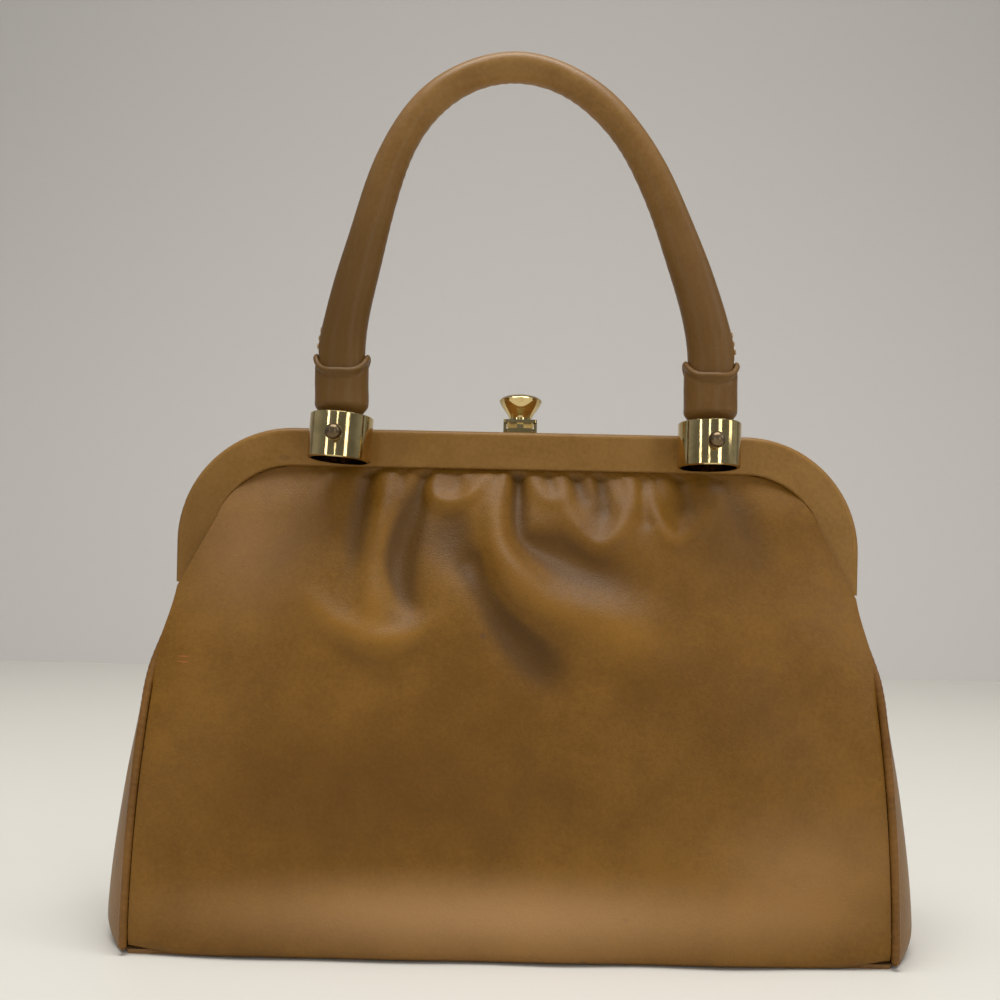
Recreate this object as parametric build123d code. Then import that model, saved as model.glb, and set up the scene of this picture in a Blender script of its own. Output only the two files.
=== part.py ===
from build123d import *
import math
import os

# Top handle handbag of the 1950s and 60s kind, in millimetres.
# X runs to the right, Y away from the viewer, Z up. The bag stands on Z = 0, its middle plane is Y = 0.
# The front half of everything lies at negative Y.

# Frame: two steel channels bent to one arch, covered in leather, hinged at the ends of their arms
frame_width = 266.0
frame_top = 195.5
frame_corner = 45.0
frame_band = 14.8
frame_depth = 10.8
frame_parting = 0.4
cover_leather = 1.2
channel_wall = 0.9
arm_foot = 134.5
cover_front_round = 2.2
cover_small_round = 0.8

# Hinges at the arm ends
hinge_height = 128.0
hinge_pin_radius = 1.5
hinge_pin_head_radius = 2.8
hinge_pin_head = 0.8
ear_radius = 4.5
ear_plate = 1.2
ear_gap = 0.3
ear_grip = 10.0
ear_inset = 7.0
shaft_play = 0.05

# Bag body: panels, gussets, base
base_width = 277.0
base_depth = 90.0
seam_top_width = 270.0
seam_top = 133.0
seam_depth_base = 42.0
seam_depth_top = 13.1
panel_leather = 1.6
gusset_leather = 1.4
bottom_round = 4.5
corner_line_height = 160.5
piping_radius = 1.5
piping_foot = 3.0
piping_head = 129.5
sewn_gap = 0.3
channel_tuck = 5.8
front_columns = 30
back_columns = 20
belly_sections = 12
bend_sections = 3

# Gathers under the frame's top bar: where each crease starts, its depth, width, widening per drop and fade
front_creases = (-76.0, -57.0, -36.0, -24.0, -9.0, 11.0, 30.0, 37.0, 52.0, 61.0, 76.0)
back_creases = (-60.0, -34.0, -12.0, 14.0, 38.0, 62.0)
crease_depth = 1.8
crease_width = 3.6
crease_spread = 0.14
crease_fade = 16.0
crease_start = 7.0

# Long folds: start across, drift per drop, half width, depth (minus stands proud), middle drop, reach
front_folds = (
    (-54.0, -0.02, 10.0, -3.2, 45.0, 30.0),
    (-44.0, 0.02, 8.0, 3.4, 42.0, 26.0),
    (-17.0, 0.22, 8.0, 3.2, 56.0, 34.0),
    (-6.0, 0.30, 8.0, -2.8, 50.0, 34.0),
    (4.0, 0.42, 8.0, 2.8, 58.0, 36.0),
)
back_folds = (
    (-40.0, 0.03, 12.0, 2.4, 36.0, 24.0),
    (12.0, -0.04, 13.0, 2.6, 40.0, 28.0),
)

# Side gussets: bellied outwards low down, drawn inside the arms and folded in towards the top
gusset_width = 311.0
gusset_bottom = 1.0
gusset_top = 165.0
gusset_foot_round = 9.0
gusset_foot_draw = 7.0
gusset_lean = 13.0
gusset_lean_start = 10.0
gusset_lean_end = 107.0
gusset_leaves_seam = 108.0
gusset_inside_arms = 122.0
gusset_fold_start = 96.0
gusset_fold_end = 142.0
gusset_fold_inset = 38.0
gusset_channel_reach = 4.4
gusset_sections = 12
gusset_columns = 8

# Inside
board_thickness = 1.5
board_margin = 4.0
lining_cloth = 0.8
lining_gap = 0.3
lining_slack = 6.0
filler_height = 5.0
filler_round = 1.2
board_corner = 6.0
lining_corner = 4.0
lining_seam_gap = 9.0

# Handle, its keepers, barrels and pins
handle_spacing = 139.0
handle_apex = 330.6
handle_offset = 1.9
handle_sway = 6.9
handle_apex_width = 10.7
handle_leg_width = 17.4
handle_leg_depth = 13.6
handle_neck_width = 11.6
handle_neck_depth = 8.0
handle_pieces = 4
keeper_wall = 1.2
keeper_rim = 219.0
keeper_scoop = 7.5
keeper_shoulder = 206.5
keeper_neck = 201.6
keeper_fit = 0.15
keeper_entry = 1.6
keeper_scoop_inset = 1.0
barrel_radius = 11.8
barrel_wall = 1.2
barrel_height = 16.8
barrel_edge = 0.4
barrel_clearance = 0.2
barrel_lean = 3.7
pin_height = 189.6
pin_radius = 1.25
pin_ball_radius = 3.1
nut_radius = 2.4
nut_height = 1.9

# Clasp on top of the frame
clasp_width = 13.4
clasp_plate = 1.1
clasp_side_wall = 1.2
clasp_axis_depth = 8.6
clasp_axis_rise = 3.4
clasp_pin_radius = 1.0
clasp_lever_plate = 1.3
clasp_snap_gap = 0.3
clasp_bracket_front = 0.9
clasp_bracket_round = 1.7
clasp_lug_radius = 1.4
clasp_lever_front = -0.5
clasp_lever_round = 0.8
clasp_pawl_length = 1.7
clasp_pawl_width = 2.6
clasp_pawl_depth = 2.15
clasp_tongue_rise = 1.9
clasp_tongue_plate = 1.0
clasp_tongue_end = 4.2
clasp_catch_front = -8.2
clasp_catch_back = -1.5
clasp_catch_half_width = 4.6
knob_radius = 8.6
knob_neck_radius = 4.4
knob_height = 10.4
knob_depth = 3.6

# Values that follow from the sizes above
front_face = -(frame_parting / 2 + frame_depth)
mating_face = -frame_parting / 2
channel_front = front_face + cover_leather
channel_mate = mating_face - cover_leather
flange_inner = channel_front + channel_wall
panel_in_channel = flange_inner + 0.1
handle_plane = front_face - barrel_clearance - barrel_radius
corner_height = frame_top - frame_corner
corner_centre = frame_width / 2 - frame_corner
inner_radius = frame_corner - frame_band
band_edge = frame_top - frame_band
panel_corner_radius = inner_radius - 3 * sewn_gap
panel_top = corner_height + panel_corner_radius

os.makedirs("parts", exist_ok=True)


def save(shape, name):
    """Write one piece to its own file."""
    export_step(shape, f"parts/{name}.step")


def smooth(value):
    """Ease from 0 to 1 with level ends."""
    t = min(max(value, 0.0), 1.0)
    return t * t * (3 - 2 * t)


def slab(face, low, high):
    """Pull a front-view outline, drawn as x across and y up, from depth low to depth high."""
    placed = Plane.XZ.offset(-low) * face
    return extrude(placed, amount=high - low, dir=(0, 1, 0))


def side_slab(face, low, high):
    """Pull a side-view outline, drawn as x for depth and y up, from left to right between low and high."""
    placed = Plane.YZ.offset(low) * face
    return extrude(placed, amount=high - low, dir=(1, 0, 0))


def rod(x, y, z, radius, length, direction):
    """A round rod that starts at a point and runs along a direction."""
    return Plane((x, y, z), z_dir=direction) * Cylinder(
        radius, length, align=(Align.CENTER, Align.CENTER, Align.MIN)
    )


def both_sides(shape):
    """The piece and its copy on the other side of the bag."""
    return [("right", shape), ("left", mirror(shape, about=Plane.YZ))]


# The frame's arch


def arch_face(inset, foot):
    """The arch as a filled outline, set in from the frame's outer line."""
    half = frame_width / 2 - inset
    top = frame_top - inset
    radius = frame_corner - inset
    return make_face(
        [
            Line((-half, foot), (-half, corner_height)),
            CenterArc((-corner_centre, corner_height), radius, 90, 90),
            Line((-corner_centre, top), (corner_centre, top)),
            CenterArc((corner_centre, corner_height), radius, 0, 90),
            Line((half, corner_height), (half, foot)),
            Line((half, foot), (-half, foot)),
        ]
    )


def arch_band(outer_inset, inner_inset, low, high, foot=arm_foot):
    """A band of the arch between two insets, from depth low to depth high."""
    outer = slab(arch_face(outer_inset, foot), low, high)
    inner = slab(arch_face(inner_inset, foot - 1), low - 1, high + 1)
    return outer - inner


def inset_at(x, z):
    """How far a point of the front view lies inside the frame's outer line."""
    if z > corner_height and abs(x) > corner_centre:
        return frame_corner - math.hypot(abs(x) - corner_centre, z - corner_height)
    if z > corner_height:
        return frame_top - z
    return frame_width / 2 - abs(x)


def edges_at(shape, inset, depth):
    """The long edges that lie at one inset and one depth of the arch."""
    found = []
    for edge in shape.edges():
        middle = edge @ 0.5
        near_depth = abs(middle.Y - depth) < 0.01
        near_inset = abs(inset_at(middle.X, middle.Z) - inset) < 0.01
        if near_depth and near_inset and edge.length > frame_band:
            found.append(edge)
    return found


def front_cover():
    """Leather wrapped round the channel: front, outer and mating sides, with a lip under each edge."""
    outside = slab(arch_face(0, arm_foot), front_face, mating_face)
    outside = fillet(edges_at(outside, 0, front_face), cover_front_round)
    outside -= slab(arch_face(frame_band, arm_foot - 1), front_face - 1, mating_face + 1)
    outside = fillet(edges_at(outside, frame_band, front_face), cover_small_round)
    hollow = arch_band(cover_leather, frame_band - cover_leather, channel_front, channel_mate, arm_foot - 1)
    throat = arch_band(frame_band / 2, frame_band + 1, flange_inner, channel_mate - channel_wall, arm_foot - 1)
    return outside - hollow - throat


def front_channel_rail():
    """Steel channel bent to the arch, open towards the inside of the arch."""
    rail = arch_band(cover_leather, frame_band - cover_leather, channel_front, channel_mate)
    return rail - arch_band(
        cover_leather + channel_wall, frame_band, flange_inner, channel_mate - channel_wall, arm_foot - 1
    )


def ear(centre_x):
    """Flat ear at an arm's end, from the channel's walls down to the hinge pin."""
    grip_front = channel_front + channel_wall / 2
    grip_back = channel_mate - channel_wall / 2
    grip_middle = (grip_front + grip_back) / 2
    grip = Pos(grip_middle, arm_foot + ear_grip / 2) * Rectangle(grip_back - grip_front, ear_grip)
    neck = make_hull(
        (
            Pos(grip_middle, arm_foot) * Rectangle(grip_back - grip_front, 0.1)
            + Pos(0, hinge_height) * Circle(ear_radius)
        ).edges()
    )
    outline = grip + neck - Pos(0, hinge_height) * Circle(hinge_pin_radius + shaft_play)
    return side_slab(outline, centre_x - ear_plate / 2, centre_x + ear_plate / 2)


hinge_x = frame_width / 2 - ear_inset
ear_shift = (ear_plate + ear_gap) / 2
inner_ear = ear(hinge_x - ear_shift)
outer_ear = ear(hinge_x + ear_shift)


def barrel_x(side):
    """Where a barrel stands across: the handle sits a little right of the frame's middle."""
    return handle_offset + side * handle_spacing / 2


def pin_bore(side, low, high):
    """The hole for one handle pin between two depths."""
    return rod(barrel_x(side), low, pin_height, pin_radius + shaft_play, high - low, (0, 1, 0))


cover = front_cover()
rail = front_channel_rail()
frame_bores = pin_bore(-1, front_face - 1, flange_inner + 1) + pin_bore(1, front_face - 1, flange_inner + 1)
front_channel = rail - frame_bores + inner_ear + mirror(inner_ear, about=Plane.YZ)
back_ear = mirror(outer_ear, about=Plane.XZ)
back_channel = mirror(rail, about=Plane.XZ) + back_ear + mirror(back_ear, about=Plane.YZ)

save(front_channel, "front_frame_channel")
save(back_channel, "back_frame_channel")
save(cover - frame_bores, "front_frame_cover")
save(mirror(cover, about=Plane.XZ), "back_frame_cover")

ears_width = 2 * ear_plate + ear_gap
shank = rod(hinge_x - ears_width / 2, 0, hinge_height, hinge_pin_radius, ears_width, (1, 0, 0))
heads = []
for end in (-1, 1):
    foot_x = hinge_x + end * (ears_width / 2 + shaft_play)
    heads.append(rod(foot_x, 0, hinge_height, hinge_pin_head_radius, hinge_pin_head, (end, 0, 0)))
    shank += rod(hinge_x, 0, hinge_height, hinge_pin_radius, ears_width / 2 + hinge_pin_head, (end, 0, 0))
hinge_pin = shank + heads[0] + heads[1]
for name, piece in both_sides(hinge_pin):
    save(piece, f"hinge_pin_{name}")


# Leather sheets: sections across the sheet, each a thin closed outline, joined by one smooth skin


def section_wire(outer, inner):
    """Closed thin section: a smooth line along the outer points and one back along the inner points."""
    places = [i / (len(outer) - 1) for i in range(len(outer))]
    front = Edge.make_spline(outer, parameters=places)
    back = Edge.make_spline(list(reversed(inner)), parameters=places)
    return Wire([front, Edge.make_line(outer[-1], inner[-1]), back, Edge.make_line(inner[0], outer[0])])


def skin(sections):
    """Solid leather sheet through its sections."""
    return Solid.make_loft([section_wire(outer, inner) for outer, inner in sections])


def seam_line(share):
    """Half width and half depth between the side seams for a share of their lean, 0 at the base, 1 at the top."""
    half_width = (base_width - (base_width - seam_top_width) * share) / 2
    return half_width, seam_depth_base - (seam_depth_base - seam_depth_top) * share


def seam_half_width(z):
    """Half the width between the side seams at a height: they lean in along a parabola."""
    return seam_line((min(z, seam_top) / seam_top) ** 2)[0]


def seam_half_depth(z):
    """How far the side seam, and above it the panel's edge, stands from the middle plane."""
    leant = seam_line((min(z, seam_top) / seam_top) ** 2)[1]
    share = smooth((z - corner_line_height) / (panel_top - corner_line_height))
    return leant + (-panel_in_channel - leant) * share


def panel_half_width(z):
    """Half the width of a panel: side seam, slant over the arm, then round the frame's corner."""
    at_seam = seam_half_width(z) - piping_radius - sewn_gap
    if z < seam_top:
        return at_seam
    corner_x = corner_centre + math.sqrt(panel_corner_radius**2 - (corner_line_height - corner_height) ** 2)
    if z < corner_line_height:
        share = (z - seam_top) / (corner_line_height - seam_top)
        return at_seam + share * (corner_x - at_seam)
    if z < panel_top:
        return corner_centre + math.sqrt(max(panel_corner_radius**2 - (z - corner_height) ** 2, 0))
    return corner_centre


def belly_depth(z):
    """Side-view line of a panel's middle: out of the channel, over the belly, upright at the base."""
    rise = min((z - bottom_round) / (panel_top - bottom_round), 1.0)
    return -panel_in_channel + (base_depth / 2 + panel_in_channel) * (1 - rise**3)



def gather_depth(x, z, creases, folds):
    """How far the leather is drawn inwards at a point: narrow creases at the frame, long folds below."""
    drop = panel_top - z
    width = crease_width + crease_spread * drop
    inward = 0.0
    for start in creases:
        inward += crease_depth * math.exp(-drop / crease_fade - ((x - start) / width) ** 2)
    for start, drift, spread, depth, middle, reach in folds:
        line = start + drift * drop
        inward += depth * math.exp(-(((x - line) / spread) ** 2) - ((drop - middle) / reach) ** 2)
    return inward * smooth(drop / crease_start)


def panel_section(z, gathers):
    """Points across a panel at one height, on its outer and its inner face."""
    outer = []
    inner = []
    slope = belly_depth(z - 0.5) - belly_depth(z + 0.5)
    thickness = panel_leather * math.hypot(1, slope * smooth((panel_top - z) / 10.0))
    creases, folds, columns = gathers
    for j in range(columns + 1):
        across = -1 + 2 * j / columns
        x = across * panel_half_width(z)
        crown = belly_depth(z) + (seam_half_depth(z) - belly_depth(z)) * across**4
        y = -crown + gather_depth(x, z, creases, folds) * (1 - across**6)
        outer.append((x, y, z))
        inner.append((x, y + thickness, z))
    return outer, inner


def turned_section(angle, gathers):
    """The lowest upright section, rolled under the base edge by an angle about the bend's axis."""
    axis = -base_depth / 2 + bottom_round
    outer = []
    inner = []
    for (x, y, z), (inner_x, inner_y, inner_z) in zip(*panel_section(bottom_round, gathers)):
        outer.append((x, axis + (y - axis) * math.cos(angle), bottom_round * (1 - math.sin(angle))))
        rolled = bottom_round - (bottom_round - panel_leather) * math.sin(angle)
        inner.append((x, axis + (inner_y - axis) * math.cos(angle), rolled))
    return outer, inner


def panel(gathers):
    """A panel: turned under at the base, bellied, gathered, with its tuck in the channel."""
    sections = []
    for i in range(bend_sections):
        sections.append(turned_section(math.pi / 2 * (1 - i / bend_sections), gathers))
    for i in range(belly_sections + 1):
        rise = 1 - (1 - i / belly_sections) ** 1.5
        sections.append(panel_section(bottom_round + (panel_top - bottom_round) * rise, gathers))
    for share in (0.3, 0.6, 1.0):
        sections.append(panel_section(panel_top + (band_edge + channel_tuck - panel_top) * share, gathers))
    return skin(sections)


front_panel = panel((front_creases, front_folds, front_columns))
back_panel = mirror(panel((back_creases, back_folds, back_columns)), about=Plane.XZ)
save(front_panel, "front_panel")
save(back_panel, "back_panel")


# Side gussets

gusset_edge_inside = frame_width / 2 - frame_band - sewn_gap - gusset_leather
gusset_edge_depth = -channel_mate - channel_wall + gusset_channel_reach


def gusset_middle(z):
    """Half the width between the gussets' middle lines: full low down, folded in at the top."""
    foot = math.sqrt(max(0.0, 1 - (1 - min(z / gusset_foot_round, 1.0)) ** 2))
    leant = min(max((z - gusset_lean_start) / (gusset_lean_end - gusset_lean_start), 0.0), 1.0)
    full = gusset_width / 2 - gusset_foot_draw * (1 - foot) - gusset_lean * leant**1.4
    folded = smooth((z - gusset_fold_start) / (gusset_fold_end - gusset_fold_start))
    return full + (frame_width / 2 - gusset_fold_inset - full) * folded


def gusset_section(z):
    """Points across the right gusset at one height, from the front edge to the back edge."""
    share = smooth((z - gusset_leaves_seam) / (gusset_inside_arms - gusset_leaves_seam))
    seam_x = seam_half_width(z) + (piping_radius + sewn_gap) * 0.6
    seam_y = seam_half_depth(z) - (piping_radius + sewn_gap)
    edge_x = seam_x + (gusset_edge_inside - seam_x) * share
    edge_y = seam_y + (gusset_edge_depth - seam_y) * share
    middle_x = gusset_middle(z)
    outer = []
    inner = []
    for j in range(gusset_columns + 1):
        across = -1 + 2 * j / gusset_columns
        x = edge_x + (middle_x - edge_x) * (1 - across**2)
        y = edge_y * across
        lean_x = edge_y
        lean_y = 2 * (middle_x - edge_x) * across
        length = math.hypot(lean_x, lean_y)
        outer.append((x, y, z))
        inner.append((x - gusset_leather * lean_x / length, y - gusset_leather * lean_y / length, z))
    return outer, inner


gusset_heights = [gusset_bottom, 0.3 * gusset_foot_round, 0.6 * gusset_foot_round, gusset_foot_round]
for i in range(1, gusset_sections + 1):
    gusset_heights.append(gusset_foot_round + (gusset_top - gusset_foot_round) * i / gusset_sections)
gusset = skin([gusset_section(z) for z in gusset_heights])
for name, piece in both_sides(gusset):
    save(piece, f"gusset_{name}")


# Piping along the side seams


def piping():
    """Leather cord along the front right seam, drawn through four rings."""
    rings = []
    for i in range(4):
        z = piping_foot + (piping_head - piping_foot) * i / 3
        half_width, half_depth = seam_line((z / seam_top) ** 2)
        lean = 2 * z / seam_top**2
        along = ((seam_top_width - base_width) / 2 * lean, (seam_depth_base - seam_depth_top) * lean, 1)
        rings.append(Plane((half_width, -half_depth, z), x_dir=(1, 0, 0), z_dir=along) * Circle(piping_radius))
    return loft(rings)


front_piping = piping()
back_piping = mirror(front_piping, about=Plane.XZ)
for name, piece in both_sides(front_piping):
    save(piece, f"front_piping_{name}")
for name, piece in both_sides(back_piping):
    save(piece, f"back_piping_{name}")


# Base, board and lining

base_half_depth = base_depth / 2 - bottom_round - sewn_gap
base_half_width = seam_half_width(0) - piping_radius
base_end = gusset_middle(gusset_bottom) - gusset_leather - 2 * sewn_gap
base_outline = make_face(
    [
        Line((-base_half_width, -base_half_depth), (base_half_width, -base_half_depth)),
        ThreePointArc((base_half_width, -base_half_depth), (base_end, 0), (base_half_width, base_half_depth)),
        Line((base_half_width, base_half_depth), (-base_half_width, base_half_depth)),
        ThreePointArc((-base_half_width, base_half_depth), (-base_end, 0), (-base_half_width, -base_half_depth)),
    ]
)
base_panel = extrude(base_outline, amount=panel_leather)
save(base_panel, "base_panel")

board = Box(
    2 * (base_half_width - board_margin),
    2 * (base_half_depth - board_margin),
    board_thickness,
    align=(Align.CENTER, Align.CENTER, Align.MIN),
)
board_top = panel_leather + sewn_gap + board_thickness
save(Pos(0, 0, panel_leather + sewn_gap) * fillet(board.edges().filter_by(Axis.Z), board_corner), "base_board")

lining_bottom = board_top + lining_gap
lining_rim = band_edge - 3 * sewn_gap
lining_in_channel = -(panel_in_channel + panel_leather + 0.1)
lining_heights = [lining_bottom]
for share in (0.3, 0.53, 0.63, 0.7, 0.8, 1.0):
    lining_heights.append(lining_bottom + (lining_rim - lining_bottom) * share)


def lining_half_size(z):
    """Half width and half depth of the lining at a height, clear of all that is round it."""
    side = min(seam_half_width(z) - lining_seam_gap, gusset_middle(z) - gusset_leather - lining_slack)
    return side, seam_half_depth(min(z, seam_top)) - lining_slack


def lining_shape(inset):
    """The lining's outside, or its inside when set in by the cloth."""
    layers = []
    for z in lining_heights:
        side, front = lining_half_size(z)
        outline = RectangleRounded(2 * (side - inset), 2 * (front - inset), lining_corner - inset)
        layers.append(Plane.XY.offset(z if z > lining_bottom else z + inset) * outline)
    return loft(layers, ruled=True)


hem_height = lining_rim + 1 - 2 * lining_cloth
hem = Box(
    2 * (lining_half_size(lining_rim)[0] - lining_corner),
    lining_cloth,
    band_edge + channel_tuck - 0.5 - hem_height,
    align=(Align.CENTER, Align.MIN, Align.MIN),
)
front_hem = Pos(0, -lining_in_channel, hem_height) * hem
lining = lining_shape(0) - lining_shape(lining_cloth) + front_hem + mirror(front_hem, about=Plane.XZ)
save(lining, "lining")

# Paper cord that locks the leather in each channel's top bar

filler_front = -lining_in_channel + lining_cloth + 0.1
filler_back = channel_mate - channel_wall - 0.1
filler = Pos(0, (filler_front + filler_back) / 2, band_edge + cover_leather + filler_height / 2) * Box(
    2 * corner_centre, filler_back - filler_front, filler_height
)
filler = fillet(filler.edges().filter_by(Axis.X), filler_round)
save(filler, "front_filler_cord")
save(mirror(filler, about=Plane.XZ), "back_filler_cord")


# Handle: rolled leather, swelling from the grip down to the legs, with flat necks inside the barrels

def handle_line():
    """Middle line of the roll from the left keeper to the right one, swayed to the left at the top."""
    rise = handle_apex - keeper_rim
    shape = ((1.0, 0.0), (0.955, 0.19), (0.859, 0.394), (0.696, 0.672), (0.423, 0.901))
    left = []
    right = []
    for across, up in shape:
        middle = handle_offset - handle_sway * up**1.5
        reach = handle_spacing / 2 * across
        left.append((middle - reach, handle_plane, keeper_rim + rise * up))
        right.append((middle + reach, handle_plane, keeper_rim + rise * up))
    points = left + [(handle_offset - handle_sway, handle_plane, handle_apex)] + right[::-1]
    return Spline(*points, tangents=((0, 0, 1), (0, 0, -1)))


centre_line = handle_line()


def handle_ring(place):
    """Oval section of the roll at a place along its line, 0 at the left leg, 1 at the right."""
    arch = math.sin(math.pi * place) ** 1.2
    width = handle_leg_width + (handle_apex_width - handle_leg_width) * arch
    depth = handle_leg_depth + (handle_apex_width - handle_leg_depth) * arch
    ring_plane = Plane(centre_line @ place, x_dir=(0, 1, 0), z_dir=centre_line % place)
    return ring_plane * Ellipse(depth / 2, width / 2)


roll_pieces = []
for i in range(handle_pieces):
    roll_pieces.append(loft([handle_ring((i + step / 3) / handle_pieces) for step in range(4)]))
roll = roll_pieces[0].fuse(*roll_pieces[1:])


def neck(side):
    """Flattened end of the roll: tapers in the keeper, then runs down past the pin in the barrel."""
    leg = Ellipse(handle_leg_width / 2, handle_leg_depth / 2)
    top = Plane((barrel_x(side), handle_plane, keeper_shoulder)) * leg
    low = Plane((barrel_x(side), handle_plane, keeper_neck)) * Ellipse(
        handle_neck_width / 2, handle_neck_depth / 2
    )
    taper = loft([top, low])
    foot = pin_height - handle_neck_depth / 2
    straight = extrude(
        Plane((barrel_x(side), handle_plane, foot)) * Ellipse(handle_neck_width / 2, handle_neck_depth / 2),
        amount=keeper_neck - foot,
    )
    sleeve = extrude(top, amount=keeper_rim - keeper_shoulder)
    return sleeve + taper + straight - pin_bore(side, handle_plane - barrel_radius, handle_plane + barrel_radius)


handle = roll + neck(-1) + neck(1)
save(handle, "handle_roll")


def oval(width, depth, z, grow):
    """Oval section of a keeper at a height, on the bag's middle."""
    return Plane((0, handle_plane, z)) * Ellipse(width / 2 + grow, depth / 2 + grow)


def keeper_body(grow, rim, foot):
    """Keeper's outside or inside: a straight sleeve, a shoulder and a neck that enters the barrel."""
    shoulder_oval = oval(handle_leg_width, handle_leg_depth, keeper_shoulder, grow)
    sleeve = extrude(shoulder_oval, amount=rim - keeper_shoulder)
    shoulder = loft([shoulder_oval, oval(handle_neck_width, handle_neck_depth, keeper_neck, grow)])
    throat = extrude(oval(handle_neck_width, handle_neck_depth, foot, grow), amount=keeper_neck - foot)
    return sleeve + shoulder + throat


keeper_foot = pin_height + barrel_height / 2 - keeper_entry
keeper = keeper_body(keeper_fit + keeper_wall, keeper_rim, keeper_foot)
keeper -= keeper_body(keeper_fit, keeper_rim + 1, keeper_foot - 1)
scoop_half = handle_leg_width / 2 + keeper_fit + keeper_wall - keeper_scoop_inset
scoop = make_face(
    [
        ThreePointArc(
            (-scoop_half, keeper_rim), (0, keeper_rim - keeper_scoop), (scoop_half, keeper_rim)
        ),
        Polyline(
            (scoop_half, keeper_rim),
            (scoop_half, keeper_rim + 2),
            (-scoop_half, keeper_rim + 2),
            (-scoop_half, keeper_rim),
        ),
    ]
)
keeper -= slab(scoop, handle_plane - barrel_radius, handle_plane + barrel_radius)
for side, name in ((1, "right"), (-1, "left")):
    save(Pos(barrel_x(side), 0, 0) * keeper, f"handle_keeper_{name}")


# Barrels and their pins

barrel = Cylinder(barrel_radius, barrel_height)
barrel = chamfer(barrel.edges().filter_by(GeomType.CIRCLE), barrel_edge)
barrel -= Cylinder(barrel_radius - barrel_wall, barrel_height + 2)
for side, name, lean in ((1, "right", 0.0), (-1, "left", barrel_lean)):
    stood = Pos(barrel_x(side), handle_plane, pin_height) * Rot(0, lean, 0) * barrel
    stood -= pin_bore(side, front_face - 3 * barrel_radius, front_face)
    save(stood, f"handle_barrel_{name}")

    ball_reach = math.sqrt(pin_ball_radius**2 - pin_radius**2)
    ball_centre = handle_plane - barrel_radius - barrel_clearance - ball_reach
    shaft_length = flange_inner + nut_height - ball_centre
    shaft = rod(barrel_x(side), ball_centre, pin_height, pin_radius, shaft_length, (0, 1, 0))
    ball = Pos(barrel_x(side), ball_centre, pin_height) * Sphere(pin_ball_radius)
    save(shaft + ball, f"handle_pin_{name}")

    nut = rod(barrel_x(side), flange_inner, pin_height, nut_radius, nut_height, (0, 1, 0))
    nut -= pin_bore(side, flange_inner - 1, flange_inner + nut_height + 1)
    save(nut, f"pin_nut_{name}")


# Clasp: catch on the front half, bracket and lever on the back half, knob on the lever

clasp_half = clasp_width / 2
axis_z = frame_top + clasp_axis_rise
clasp_bore = clasp_pin_radius + shaft_play
clasp_hole = rod(-clasp_half - 1, clasp_axis_depth, axis_z, clasp_bore, clasp_width + 2, (1, 0, 0))
bracket_back = clasp_axis_depth + clasp_bracket_round
wall_top = axis_z + clasp_bracket_round
bracket_side = make_face(
    [
        Polyline(
            (clasp_axis_depth, wall_top),
            (clasp_bracket_front, wall_top),
            (clasp_bracket_front, frame_top),
            (bracket_back, frame_top),
            (bracket_back, axis_z),
        ),
        CenterArc((clasp_axis_depth, axis_z), clasp_bracket_round, 0, 90),
    ]
)
bracket = side_slab(bracket_side, -clasp_half, clasp_half)
bracket -= Pos(0, 0, frame_top + clasp_plate) * Box(
    clasp_width - 2 * clasp_side_wall,
    4 * bracket_back,
    4 * clasp_axis_rise,
    align=(Align.CENTER, Align.CENTER, Align.MIN),
)
save(bracket - clasp_hole, "clasp_bracket")

save(
    rod(-clasp_half, clasp_axis_depth, axis_z, clasp_pin_radius, clasp_width, (1, 0, 0)),
    "clasp_hinge_pin",
)

lever_bottom = wall_top + clasp_snap_gap
lug_half = clasp_half - clasp_side_wall - clasp_snap_gap
lever_middle = (clasp_lever_front + bracket_back) / 2
lever_plate = Pos(0, lever_middle, lever_bottom + clasp_lever_plate / 2) * Box(
    clasp_width, bracket_back - clasp_lever_front, clasp_lever_plate
)
lever_plate = fillet(lever_plate.edges().filter_by(Axis.Z), clasp_lever_round)
lug = make_face(
    [
        Polyline(
            (clasp_axis_depth + clasp_lug_radius, axis_z),
            (clasp_axis_depth + clasp_lug_radius, lever_bottom),
            (clasp_axis_depth - clasp_lug_radius, lever_bottom),
            (clasp_axis_depth - clasp_lug_radius, axis_z),
        ),
        CenterArc((clasp_axis_depth, axis_z), clasp_lug_radius, 180, 180),
    ]
)
lever = lever_plate + side_slab(lug, -lug_half, lug_half) - clasp_hole
tongue_low = frame_top + clasp_tongue_rise
tongue_top = tongue_low + clasp_tongue_plate
pawl_low = tongue_top + clasp_snap_gap
pawl = Box(
    clasp_pawl_width,
    clasp_pawl_length,
    lever_bottom + clasp_lever_plate / 2 - pawl_low,
    align=(Align.CENTER, Align.CENTER, Align.MIN),
)
lever += Pos(0, clasp_pawl_depth, pawl_low) * pawl
save(lever, "clasp_lever")

catch_outline = Polyline(
    (clasp_catch_front, frame_top),
    (clasp_catch_back, frame_top),
    (clasp_catch_back, tongue_low),
    (clasp_tongue_end, tongue_low),
    (clasp_tongue_end, tongue_top),
    (clasp_catch_back - clasp_plate, tongue_top),
    (clasp_catch_back - clasp_plate, frame_top + clasp_plate),
    (clasp_catch_front, frame_top + clasp_plate),
    close=True,
)
catch = side_slab(make_face(catch_outline), -clasp_catch_half_width, clasp_catch_half_width)
catch -= Pos(0, clasp_pawl_depth, tongue_top) * Box(
    clasp_pawl_width + 0.8, clasp_pawl_length + 0.8, 3 * clasp_tongue_plate
)
save(catch, "clasp_catch")

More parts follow.
